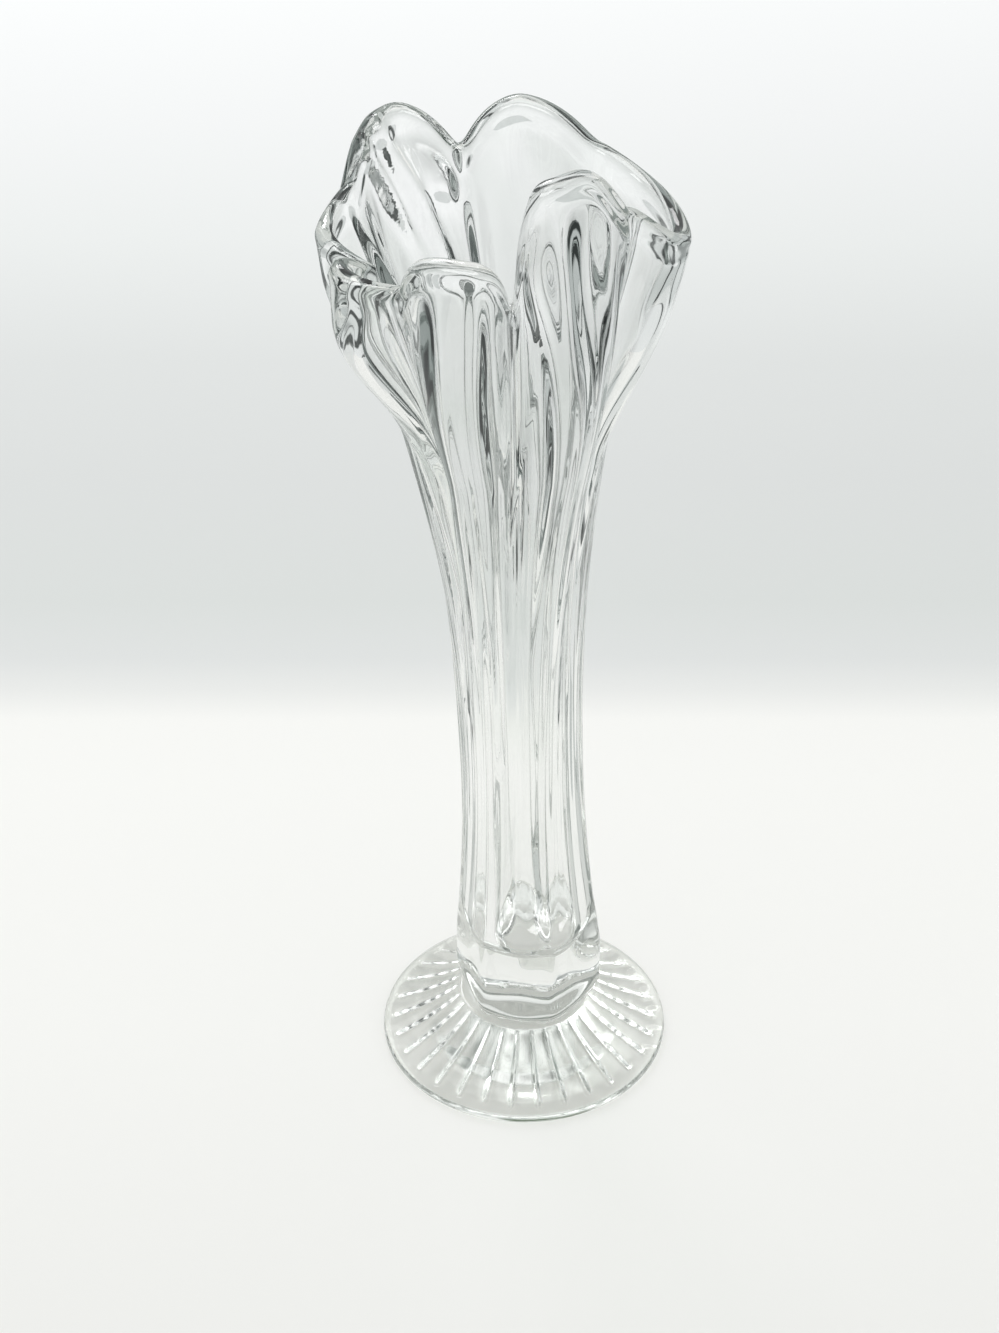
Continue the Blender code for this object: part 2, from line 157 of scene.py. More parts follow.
@dataclass(frozen=True)
class GlassFinish:
    """Hot-worked soda-lime glass, fire polished: it bends what is behind it and shines on every edge.

    Fire polish leaves no grain, so the skin is smooth, with faint slow waves where the tool and the flame
    moved it. The veil is a faint cloudiness in patches. The volume takes a little light, red and blue
    first, which turns thick places grey-green. A ground face is finely rough, which softens what is seen
    through it.
    """

    name: str
    # On the foot, greyer clear and veil colours are painted shade over the whole piece
    clear_hex: str = "FFFFFF"
    veil_and_shade_hex: str = "F7F9F7"
    ior: float = 1.52
    roughness: float = 0.0
    veil_roughness: float = 0.02
    ground_roughness: float = 0.12
    veil_stretch: float = 2.5
    veil_from: float = 0.35
    veil_to: float = 0.75
    wave_size: float = 14.0 * MM
    wave_height: float = 0.02 * MM
    depth_hex: str = "E2E5E1"
    depth_density: float = 8.0
    lamp_hex: str = "E8EBE9"
    spent_shade_hex: str = "DADDDC"
    last_reflection: float = 2.5

    def material(self, face: Face) -> bpy.types.Material:
        """Builds the glass for one kind of face: its surface over an absorbing volume.

        A fused face has no skin at all, so the two gathers read as one piece of glass.

        Args:
            face: The kind of face.

        Returns:
            The material.
        """
        material = bpy.data.materials.new(f"{self.name}_{face.name.lower()}")
        material.use_nodes = True
        tree = material.node_tree
        tree.nodes.clear()
        if face is Face.FUSED:
            surface = add_node(tree, "ShaderNodeBsdfTransparent")["BSDF"]
        else:
            surface = self.skin(tree, self.ground_roughness if face is Face.GROUND else 0.0)
        volume = {"Color": linear(self.depth_hex), "Density": self.depth_density}
        depth = add_node(tree, "ShaderNodeVolumeAbsorption", volume)["Volume"]
        add_node(tree, "ShaderNodeOutputMaterial", {"Surface": surface, "Volume": depth})
        return material

    def skin(self, tree: bpy.types.NodeTree, grain: float) -> bpy.types.NodeSocket:
        """Adds the skin: gloss and refraction, and a straight way through for light that needs one.

        Lamp light passes straight through, tinted once for each skin. A path that has been reflected more
        often than last_reflection also passes straight through, since it would end in black otherwise. Its
        grey tint is painted shade for the light that the long way loses.

        Args:
            tree: The material's node tree.
            grain: The roughness that grinding adds.

        Returns:
            The skin's shader socket.
        """
        gloss = self.gloss(tree, grain)
        path = add_node(tree, "ShaderNodeLightPath")
        count = {0: path["Glossy Depth"], 1: self.last_reflection}
        long_way = add_node(tree, "ShaderNodeMath", count, operation="GREATER_THAN")[0]
        # The spent tint is painted shade on paths past the last reflection
        spent = add_node(tree, "ShaderNodeBsdfTransparent", {"Color": linear(self.spent_shade_hex)})[0]
        seen = add_node(tree, "ShaderNodeMixShader", {0: long_way, 1: gloss, 2: spent})[0]
        lamp = add_node(tree, "ShaderNodeBsdfTransparent", {"Color": linear(self.lamp_hex)})[0]
        return add_node(tree, "ShaderNodeMixShader", {0: path["Is Shadow Ray"], 1: seen, 2: lamp})[0]

    def gloss(self, tree: bpy.types.NodeTree, grain: float) -> bpy.types.NodeSocket:
        """Adds clear gloss and refraction, with faint waves all over and the veil in patches.

        Args:
            tree: The material's node tree.
            grain: The roughness that grinding adds.

        Returns:
            The shader's socket.
        """
        place = add_node(tree, "ShaderNodeTexCoord")["Object"]
        ripples = {"Vector": place, "Scale": 1.0 / self.wave_size, "Detail": 1.0, "Roughness": 0.4}
        waves = add_node(tree, "ShaderNodeTexNoise", ripples)["Fac"]
        relief = {"Height": waves, "Distance": self.wave_height, "Strength": 1.0}
        bump = add_node(tree, "ShaderNodeBump", relief)["Normal"]
        clouds = {"Vector": place, "Scale": 1.0 / (self.wave_size * self.veil_stretch), "Detail": 2.0}
        veil = add_node(tree, "ShaderNodeTexNoise", clouds)["Fac"]
        patches = {"Value": veil, "From Min": self.veil_from, "From Max": self.veil_to}
        share = add_node(tree, "ShaderNodeMapRange", patches)["Result"]
        colours = {0: share, 6: linear(self.clear_hex), 7: linear(self.veil_and_shade_hex)}
        tint = add_node(tree, "ShaderNodeMix", colours, data_type="RGBA")[2]
        span = {"Value": share, "To Min": self.roughness + grain, "To Max": self.veil_roughness + grain}
        rough = add_node(tree, "ShaderNodeMapRange", span)["Result"]
        looks = {
            "Base Color": tint,
            "Roughness": rough,
            "IOR": self.ior,
            "Transmission Weight": 1.0,
            "Normal": bump,
        }
        return add_node(tree, "ShaderNodeBsdfPrincipled", looks)["BSDF"]


@dataclass(frozen=True)
class Rim:
    """One lobe's middle or one fold's middle, from the column to the rim.

    root and azimuth are its azimuths in the column and at the rim. reach is its distance from the mouth's
    middle as a share of the mouth's reach. rise and start are the heights of its rim and of the place where
    its wall leaves the column's line, above the throat as shares of the mouth's rise. upright is how far
    its lip turns upright, and body is how full a lobe is or how deep a fold is.
    """

    root: float
    azimuth: float
    reach: float
    rise: float
    start: float
    upright: float
    body: float


def rim_table(rims: tuple[Rim, ...]) -> dict[str, Array]:
    """The values of a row of rims as one array for each field."""
    return {f.name: np.array([getattr(rim, f.name) for rim in rims]) for f in fields(Rim)}


LOBES = rim_table(
    (
        Rim(230, 258, 0.8695, 1.0, -0.09, 0.4, 3.2),
        Rim(290, 300, 0.695, 1.206, -0.09, 1.0, 3.8),
        Rim(350, 369, 1.037, 0.74, -0.09, 0.4, 2.8),
        Rim(410, 442, 0.999, 0.9, -0.09, 0.3, 1.7),
        Rim(470, 488, 1.0, 0.938, -0.09, 0.3, 2.2),
        Rim(518, 533, 0.988, 0.75, 0.1, 0.75, 2.2),
        Rim(542, 565, 0.97, 0.8, 0.1, 1.0, 2.4),
    )
)
FOLDS = rim_table(
    (
        Rim(260, 277.5, 0.587, 0.713, -0.21, 0.0, 1.0),
        Rim(320, 343, 0.783, 0.95, -0.21, 0.0, 1.0),
        Rim(380, 410, 0.891, 0.838, -0.21, 0.0, 1.0),
        Rim(440, 468, 0.717, 0.838, -0.21, 0.0, 1.0),
        Rim(500, 517, 0.94, 0.785, -0.21, 0.0, 1.0),
        Rim(530, 549, 0.77, 0.68, -0.05, 0.0, 0.8),
        Rim(560, 580, 0.739, 0.738, -0.21, 0.0, 1.0),
    )
)
LOBE_COUNT = len(LOBES["root"])
# For each fold's crease: the height of its point above the throat as a share of the mouth's rise, its depth
# at the rim, and how far its point lies off the fold's middle, in lobes
CREASE_STARTS = np.array([-0.34, 0.15, 0.1, -0.2, 0.1, 0.4, 0.1])
CREASE_DEPTHS = np.array([5.0, 2.0, 1.5, 3.5, 1.5, 1.2, 2.0]) * MM
CREASE_DRIFTS = np.array([0.12, 0.0, 0.0, 0.0, 0.0, 0.0, 0.0])
# How strong the streaks inside each lobe are, from the first lobe round to the first again
STREAK_SHARES = (0.8, 0.4, 0.3, 0.2, 1.2, 0.2, 0.3, 0.8)


@dataclass(frozen=True)
class Lens:
    """A soft swelling inside the mouth's wall, which bends the light like a lens.

    u and z are its middle, width its half width in lobes, length its half length up the wall and height
    how much it adds to the wall. drift is how far its middle moves round with height, in lobes per metre.
    """

    u: float
    z: float
    width: float
    length: float
    height: float
    drift: float = 0.0

    def swelling(self, u: Array, z: Array) -> Array:
        """Its height at each place: a bell both ways round its drifting middle."""
        across = (u - self.u - self.drift * (z - self.z)) / self.width
        return self.height * np.exp(-(across**2) - ((z - self.z) / self.length) ** 2)


LENSES = (
    Lens(0.76, 276.0 * MM, 0.16, 12.0 * MM, 3.0 * MM),
    Lens(3.77, 265.5 * MM, 0.15, 7.5 * MM, 7.5 * MM),
    Lens(3.97, 263.0 * MM, 0.06, 17.0 * MM, 5.5 * MM, 8.9),
    Lens(4.13, 262.0 * MM, 0.05, 16.0 * MM, 4.5 * MM, 8.9),
    Lens(3.83, 246.0 * MM, 0.045, 11.0 * MM, 3.5 * MM, 7.0),
    Lens(5.95, 260.0 * MM, 0.3, 9.0 * MM, 2.5 * MM),
    Lens(1.9, 250.0 * MM, 0.3, 12.0 * MM, 1.0 * MM),
)


def lobe_index(u: Array) -> NDArray[np.int64]:
    """The nearest lobe. u counts lobes round the rim, so folds lie at the halves."""
    return np.floor(u + 0.5).astype(int) % LOBE_COUNT


def fold_index(u: Array) -> NDArray[np.int64]:
    """The fold between the same two lobes as u."""
    return np.floor(u).astype(int) % LOBE_COUNT


def fold_share(u: Array) -> Array:
    """0 at a lobe's middle and 1 at a fold's, in a straight line between them."""
    return 2.0 * np.abs(u - np.round(u))


@dataclass
class ClosedSkin:
    """Rings of points that make one closed skin with a point at each end.

    fused_band is the band of faces at the joint, counted from the first pole's fan, and ground_bands is how
    many bands from that fan on are ground.
    """

    rows: Array
    first_pole: Array
    last_pole: Array
    fused_band: int
    ground_bands: int = 0

    def points(self) -> Array:
        """All points: the rings in their order, then the two poles."""
        return np.concatenate([self.rows.reshape(-1, 3), [self.first_pole, self.last_pole]])

    def object(self, name: str, finish: GlassFinish) -> bpy.types.Object:
        """Joins the rings with quads and the poles with triangles, and dresses the faces.

        A quad joins neighbouring points of one ring to the same two of the next. Each band of faces gets
        the slot of what it is: polished, fused or ground.

        Args:
            name: The piece's name.
            finish: Its glass.

        Returns:
            The object, at the origin, with smooth shading.
        """
        count, columns = self.rows.shape[:2]
        ring = np.arange(columns)
        after = (ring + 1) % columns
        low = (np.arange(count - 1) * columns)[:, None]
        quads = np.stack([low + ring, low + after, low + columns + after, low + columns + ring], axis=-1)
        last = (count - 1) * columns
        first_fan = np.stack([after, ring, np.full(columns, count * columns)], axis=1)
        last_fan = np.stack([last + ring, last + after, np.full(columns, count * columns + 1)], axis=1)
        mesh = bpy.data.meshes.new(name)
        faces = first_fan.tolist() + quads.reshape(-1, 4).tolist() + last_fan.tolist()
        mesh.from_pydata(self.points().tolist(), [], faces)
        mesh.shade_smooth()
        kinds = tuple(Face) if self.ground_bands else (Face.POLISHED, Face.FUSED)
        for face in kinds:
            mesh.materials.append(finish.material(face))
        band = np.repeat(np.arange(count + 1), columns)
        slot = np.where(band == self.fused_band, Face.FUSED.value, Face.POLISHED.value)
        slot = np.where(band < self.ground_bands, Face.GROUND.value, slot)
        mesh.polygons.foreach_set("material_index", slot.astype(np.int32))
        mesh.update()
        piece = bpy.data.objects.new(name, mesh)
        bpy.context.scene.collection.objects.link(piece)
        return piece


def hand_waves(u: Array, z: Array, seed: int, length: float, count: int = 18) -> Array:
    """Slow waves that hand work leaves in a glass wall, long up the wall and short round it.

    The sum of sines with whole wave numbers round the body, random slopes and random phases, scaled so
    that its mean square is one.

    Args:
        u: Place round the axis, counted in lobes.
        z: Heights, a grid with a column for each u.
        seed: The seed of the random choice.
        length: The shortest wave's length up the wall.
        count: How many waves are summed.

    Returns:
        The grid of heights of the waves.
    """
    rng = np.random.default_rng(seed)
    around = rng.integers(*WAVE_NUMBERS, count) * 2.0 * math.pi / LOBE_COUNT
    climb = rng.uniform(-1.0, 1.0, count) * 2.0 * math.pi / length
    phase = rng.uniform(0.0, 2.0 * math.pi, count)
    turns = u[None, :, None] * around + z[..., None] * climb + phase
    return np.sum(np.sin(turns), axis=-1) / math.sqrt(count / 2.0)


def flutes(u: Array, seed: int, count: int = 14) -> Array:
    """Upright ridges that a mould leaves round a wall.

    The sum of sines with whole wave numbers round the body and random phases, scaled so that its mean
    square is one.

    Args:
        u: Place round the axis, counted in lobes.
        seed: The seed of the random choice.
        count: How many sines are summed.

    Returns:
        The height of the ridges at each place.
    """
    rng = np.random.default_rng(seed)
    around = rng.integers(*FLUTE_NUMBERS, count) * 2.0 * math.pi / LOBE_COUNT
    phase = rng.uniform(0.0, 2.0 * math.pi, count)
    return np.sum(np.sin(u[:, None] * around + phase), axis=-1) / math.sqrt(count / 2.0)


@dataclass
class LobedBody:
    """The blown body: block, six-sided column with its cavity, and lobed mouth.

    In its methods u is the place round the axis, counted in lobes, and z a grid of heights with a column
    for each u. The fields in MM are lengths. The others are counts, angles, and shares or powers in the
    formulas that the methods' docstrings give in words.
    """

    finish: GlassFinish
    seat_height: float = 15.65 * MM
    block_base: float = 15.9 * MM
    block_height: float = 36.0 * MM
    block_radius: float = 19.7 * MM
    block_edge_height: float = 8.5 * MM
    block_seat_radius: float = 15.5 * MM
    waist_height: float = 97.0 * MM
    waist_radius: float = 15.9 * MM
    block_blend_power: float = 1.8
    corner_count: int = 6
    corner_azimuth: float = 230.0
    corner_rounding: float = 0.16
    panel_depth: float = 0.12
    seat_panel_depth: float = 0.05
    throat_height: float = 207.0 * MM
    throat_radius: float = 25.7 * MM
    throat_power: float = 2.1
    open_fold_depth: float = 0.25
    mouth_reach: float = 46.0 * MM
    mouth_rise: float = 79.3 * MM
    twist: float = 20.0
    lean: float = 2.0
    seat_shift: float = 1.1 * MM
    early_reach: float = 0.3
    crease_width: float = 0.56
    crease_inside_share: float = 0.7
    crease_drift_reach: float = 1.25
    fold_rounding: float = 0.25
    fold_thickening: float = 0.6
    corner_flute_share: float = 0.014
    corner_flute_start: float = 50.0 * MM
    corner_flute_rise: float = 60.0 * MM
    corner_flute_end: float = 20.0 * MM
    corner_flute_fade: float = 40.0 * MM
    bore_flute_height: float = 0.03 * MM
    bore_flute_start: float = 60.0 * MM
    bore_flute_rise: float = 40.0 * MM
    wall_wave_share: float = 0.2
    wall_wave_length: float = 110.0 * MM
    wall_streak_share: float = 0.1
    wall_wave_fade: float = 20.0 * MM
    floor_height: float = 35.0 * MM
    floor_rounding: float = 8.0 * MM
    panel_wall: float = 2.6 * MM
    rim_wall: float = 3.4 * MM
    rim_bead: float = 0.5
    rim_bead_height: float = 7.0 * MM
    columns_per_lobe: int = 44
    edge_levels: int = 14
    block_levels: int = 12
    column_levels: int = 46
    mouth_levels: int = 76
    lip_levels: int = 9
    floor_levels: int = 12

    def build(self) -> bpy.types.Object:
        """Builds the body's closed skin and dresses it.

        Returns:
            The piece, which stands for the CAD body.
        """
        u = np.arange(self.columns_per_lobe * LOBE_COUNT) / self.columns_per_lobe
        outer = self.outer_wall(u, self.wall_heights(u))
        inner = self.cavity_wall(outer)[self.edge_levels + self.block_levels :]
        floor_rows, centre = self.floor(inner[0])
        rows = np.concatenate([outer, self.lip(u, outer[-1], inner[-1]), inner[::-1], floor_rows])
        seat_centre = np.array([self.seat_shift, 0.0, self.seat_height])
        skin = ClosedSkin(rows, seat_centre, centre, fused_band=0)
        # The lowest ring drops to the joint, a hair above the foot's top
        skin.rows[0, :, 2] = self.seat_height
        piece = skin.object("blown_body", self.finish)
        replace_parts(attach(piece, "root"), "lobed_body")
        return piece

    def lobe_shape(self, u: Array) -> Array:
        """0 at a lobe's middle and 1 at a fold's; a fuller lobe leaves the fold narrower."""
        clear = rounded_rise(1.0 - fold_share(u), self.fold_rounding)
        return (1.0 - clear) ** LOBES["body"][lobe_index(u)]

    def round_rim(self, name: str, u: Array, share: Array) -> Array:
        """A rim value round the mouth: the lobe's own, moved by share towards the fold's."""
        return LOBES[name][lobe_index(u)] * (1.0 - share) + FOLDS[name][fold_index(u)] * share

    def round_azimuth(self, name: str, u: Array) -> Array:
        """Azimuth of a meridian at its root or rim, which keeps growing past the last lobe.

        A straight line from the lobe's value to the fold's.

        Args:
            name: The field of the rims, root or azimuth.
            u: Place in lobes.

        Returns:
            The azimuth at each place.
        """
        lobe = LOBES[name][lobe_index(u)] + 360.0 * np.floor((u + 0.5) / LOBE_COUNT)
        share = fold_share(u)
        return lobe * (1.0 - share) + FOLDS[name][fold_index(u)] * share

    def edge_share(self, z: Array) -> Array:
        """1 at the block's seat, falling on a quarter round to 0 above its bottom edge."""
        up = (z - self.block_base) / self.block_edge_height
        return 1.0 - np.sqrt(1.0 - np.clip(1.0 - up, 0.0, 1.0) ** 2)

    def corner_radius(self, z: Array) -> Array:
        """Distance from the axis to the column's corners.

        Below the waist it grows as a power of the way down to the block and is cut back at the rounded
        bottom edge. Above, it grows as a power of the way up to the throat and goes on straight.

        Args:
            z: Heights.

        Returns:
            The radius at each height.
        """
        down = np.clip((self.waist_height - z) / (self.waist_height - self.block_height), 0.0, 1.0)
        below = self.waist_radius + (self.block_radius - self.waist_radius) * down**self.block_blend_power
        below = below - (self.block_radius - self.block_seat_radius) * self.edge_share(z)
        rise = self.throat_height - self.waist_height
        up = np.clip((z - self.waist_height) / rise, 0.0, 1.0)
        flare = self.throat_radius - self.waist_radius
        slope = flare * self.throat_power / rise
        straight = slope * np.maximum(z - self.throat_height, 0.0)
        above = self.waist_radius + flare * up**self.throat_power + straight
        return np.where(z < self.waist_height, below, above)

    def panel_share(self, azimuth: Array) -> Array:
        """0 at a corner of the column and 1 in the middle of a panel, with the corner rounded off."""
        bare = np.abs(np.sin(np.radians(azimuth - self.corner_azimuth) * self.corner_count / 2.0))
        return rounded_rise(bare, self.corner_rounding)

    def opening_share(self, z: Array) -> Array:
        """0 in the plain column and 1 where the corners have become full lobes."""
        return ease((z - self.waist_height) / (self.throat_height - self.waist_height))

    def fold_depth(self, z: Array) -> Array:
        """Share of the corner radius by which panels and folds lie inside the corners."""
        panel = self.panel_depth + (self.seat_panel_depth - self.panel_depth) * self.edge_share(z)
        return panel + (self.open_fold_depth - self.panel_depth) * self.opening_share(z)

    def place(self, radius: Array | float, azimuth: Array | float, z: Array) -> Array:
        """Points at a radius and azimuth from the axis, which leans to -X above the block.

        Args:
            radius: Distances from the axis.
            azimuth: Azimuths round it.
            z: Heights.

        Returns:
            The points, one for each place of the three grids laid over each other.
        """
        lean = math.tan(math.radians(self.lean)) * np.maximum(z - self.block_height, 0.0)
        angle = np.radians(azimuth)
        x = self.seat_shift - lean + radius * np.cos(angle)
        return np.stack(np.broadcast_arrays(x, radius * np.sin(angle), z), axis=-1)

    def rim_height(self, u: Array) -> Array:
        """Height of the rim round the mouth."""
        return self.throat_height + self.mouth_rise * self.round_rim("rise", u, self.lobe_shape(u))

    def crease_depth(self, u: Array, z: Array) -> Array:
        """Depth of the sharp crease in each fold.

        From its point it widens in proportion to the way up to the fold's rim and deepens as the root of
        that way. Across, it is a V. Its middle starts beside the fold's own and drifts towards it.

        Args:
            u: Place in lobes.
            z: Grid of heights.

        Returns:
            The grid of depths.
        """
        fold = fold_index(u)
        low = self.throat_height + self.mouth_rise * CREASE_STARTS[fold]
        high = self.throat_height + self.mouth_rise * FOLDS["rise"][fold]
        up = np.clip((z - low) / (high - low), 0.0, 1.0)
        middle = np.floor(u) + 0.5 - CREASE_DRIFTS[fold] * (self.crease_drift_reach - up)
        across = 2.0 * np.abs(u - middle) / (self.crease_width * up + TINY)
        return CREASE_DEPTHS[fold] * np.sqrt(up) * np.clip(1.0 - across, 0.0, 1.0)

    def corner_flutes(self, u: Array, z: Array) -> Array:
        """Upright flutes on the column's corners, which fade out on the panels, the block and the rim.

        Args:
            u: Place in lobes.
            z: Grid of heights.

        Returns:
            The flutes' height as a share of the radius.
        """
        above_block = ease((z - self.corner_flute_start) / self.corner_flute_rise)
        below_rim = ease((self.rim_height(u) - self.corner_flute_end - z) / self.corner_flute_fade)
        on_corner = 1.0 - self.panel_share(self.round_azimuth("root", u))
        ridges = flutes(u, CORNER_FLUTE_SEED)
        return self.corner_flute_share * above_block * below_rim * on_corner * ridges

    def outer_wall(self, u: Array, z: Array) -> Array:
        """Outer surface of the body.

        The column's corner radius is lessened by the panels' depth, which turns into the folds' depth on
        the way up, gets the corners' flutes and loses the creases' depth. From each lobe's start the wall
        is pulled out to its rim's reach, on a square of the way for an open lip or an eased step for an
        upright one, and turned to its rim's azimuth.

        Args:
            u: Place in lobes.
            z: Grid of heights.

        Returns:
            A grid of points.
        """
        root = self.round_azimuth("root", u)
        shape = self.lobe_shape(u)
        depth = shape * FOLDS["body"][fold_index(u)]
        open_share = self.opening_share(z)
        share = self.panel_share(root) * (1.0 - open_share) + depth * open_share
        radius = self.corner_radius(z) * (1.0 - self.fold_depth(z) * share)
        radius = radius * (1.0 + self.corner_flutes(u, z)) - self.crease_depth(u, z)
        start = self.throat_height + self.mouth_rise * self.round_rim("start", u, shape)
        reach = self.mouth_reach * self.round_rim("reach", u, shape)
        upright = self.round_rim("upright", u, shape)
        rise = np.clip((z - start) / (self.rim_height(u) - start), 0.0, 1.0)
        pulled = (1.0 - upright) * rise**2 + upright * ease(rise * (1.0 + self.early_reach))
        radius = radius * (1.0 - pulled) + reach * pulled
        up = (z - self.block_height) / (self.throat_height - self.block_height)
        own_turn = (self.round_azimuth("azimuth", u) - root - self.twist) * ease(rise)
        return self.place(radius, root + self.twist * np.clip(up, 0.0, 1.0) + own_turn, z)

    def outward(self, points: Array) -> Array:
        """Level directions from the leaning axis out to each point."""
        return unit(points - self.place(0.0, 0.0, points[..., 2]))

    def wall_normals(self, points: Array) -> Array:
        """Directions square to each meridian of a grid, in the meridian's own upright plane.

        The meridian's run outwards and its rise, swapped and one of them turned round.

        Args:
            points: The grid.

        Returns:
            A direction of length one for each point.
        """
        level = self.outward(points)
        up = np.gradient(points, axis=0)
        run = np.sum(up * level, axis=-1, keepdims=True)
        return unit(up[..., 2:] * level - run * UPRIGHT)

    def wall_thickness(self, u: Array, z: Array) -> Array:
        """Thickness of the mouth's wall.

        The rim's wall with a bead round the rim, more in the folds, and slow waves and upright streaks of
        the inside. The inside follows a part of each crease, and the lenses swell it.

        Args:
            u: Place in lobes.
            z: Grid of heights.

        Returns:
            The grid of thicknesses.
        """
        to_rim = self.rim_height(u) - z
        below_rim = ease(to_rim / self.wall_wave_fade)
        bead = self.rim_bead * (1.0 - ease(to_rim / self.rim_bead_height))
        streaks = np.interp(u, np.arange(LOBE_COUNT + 1), STREAK_SHARES) * flutes(u, WALL_STREAK_SEED)
        waves = self.wall_wave_share * hand_waves(u, z, WALL_WAVE_SEED, self.wall_wave_length)
        uneven = self.fold_thickening * self.lobe_shape(u) + (waves + self.wall_streak_share * streaks)
        thick = self.rim_wall * (1.0 + bead + below_rim * uneven)
        thick = thick - self.crease_inside_share * self.crease_depth(u, z) * below_rim
        return thick + sum(lens.swelling(u, z) for lens in LENSES)

    def cavity_wall(self, outer: Array) -> Array:
        """Inner surface opposite each point of the outer one.

        In the column it is a round bore with faint flutes, one panel wall inside the panels. In the mouth
        it lies the wall's thickness inside the outer surface. The opening share mixes the two.

        Args:
            outer: The outer surface's grid.

        Returns:
            A grid of the same size.
        """
        z = outer[..., 2]
        u = np.arange(outer.shape[1]) / self.columns_per_lobe
        even = outer - self.wall_thickness(u, z)[..., None] * self.wall_normals(outer)
        radius = self.corner_radius(z) * (1.0 - self.fold_depth(z)) - self.panel_wall
        above_floor = ease((z - self.bore_flute_start) / self.bore_flute_rise)
        radius = radius + self.bore_flute_height * flutes(u, BORE_FLUTE_SEED) * above_floor
        bore = self.place(0.0, 0.0, z) + radius[..., None] * self.outward(outer)
        share = self.opening_share(z)[..., None]
        return bore * (1.0 - share) + even * share

    def lip(self, u: Array, outer_rim: Array, inner_rim: Array) -> Array:
        """Half-round rows over the rim.

        Each column is half an ellipse from the outer to the inner rim, whose crown stands square to the
        rim on the lobes and upright in the folds.

        Args:
            u: Place in lobes.
            outer_rim: The outer wall's last row.
            inner_rim: The inner wall's last row.

        Returns:
            The rows between the two.
        """
        middle = (outer_rim + inner_rim) / 2.0
        half = (outer_rim - inner_rim) / 2.0
        along = np.roll(middle, -1, axis=0) - np.roll(middle, 1, axis=0)
        square = unit(np.cross(half, along))
        turned = square * (1.0 - fold_share(u))[:, None] + UPRIGHT
        crown = unit(turned) * np.linalg.norm(half, axis=-1, keepdims=True)
        turns = math.pi * np.arange(1, self.lip_levels + 1)[:, None, None] / (self.lip_levels + 1)
        return middle + half * np.cos(turns) + crown * np.sin(turns)

    def floor(self, brim: Array) -> tuple[Array, Array]:
        """Rows from the cavity's lowest wall row in to its floor's middle, on a quarter ellipse.

        Args:
            brim: The lowest row of the inner wall.

        Returns:
            The rows and the middle.
        """
        centre = self.place(0.0, 0.0, np.array([self.floor_height]))
        dip = np.linspace(0.0, math.pi / 2.0, self.floor_levels + 1)[1:-1][:, None, None]
        rows = centre + (brim - centre) * np.cos(dip)
        rows[..., 2] = brim[:, 2] - self.floor_rounding * np.sin(dip[..., 0])
        return rows, centre[0]

    def wall_heights(self, u: Array) -> Array:
        """Heights of the outer wall's rows at each meridian, from the seat up to the rim.

        The bottom edge's rows lie at even turns of its quarter round, those of the block and the column
        at even steps, and those of the mouth at even shares of the way to each meridian's own rim.

        Args:
            u: Place in lobes.

        Returns:
            A grid of heights.
        """
        edge_top = self.block_base + self.block_edge_height
        turns = np.linspace(0.0, math.pi / 2.0, self.edge_levels, endpoint=False)
        edge = edge_top - self.block_edge_height * np.cos(turns)
        column_foot = self.floor_height + self.floor_rounding
        throat = self.throat_height + self.mouth_rise * FOLDS["start"].min()
        block = np.linspace(edge_top, column_foot, self.block_levels, endpoint=False)
        column = np.linspace(column_foot, throat, self.column_levels, endpoint=False)
        plain = np.concatenate([edge, block, column])[:, None]
        steps = np.linspace(0.0, 1.0, self.mouth_levels)[:, None]
        mouth = throat + (self.rim_height(u) - throat) * steps
        return np.concatenate([np.broadcast_to(plain, (len(plain), len(u))), mouth])

    def seat_outline(self, azimuth: Array) -> Array:
        """Outline of the block's base, round which the foot's top begins.

        Args:
            azimuth: Azimuths of the points.

        Returns:
            A point at each azimuth.
        """
        z = np.full(azimuth.shape, self.block_base)
        radius = self.corner_radius(z) * (1.0 - self.fold_depth(z) * self.panel_share(azimuth))
        return self.place(radius, azimuth, z)


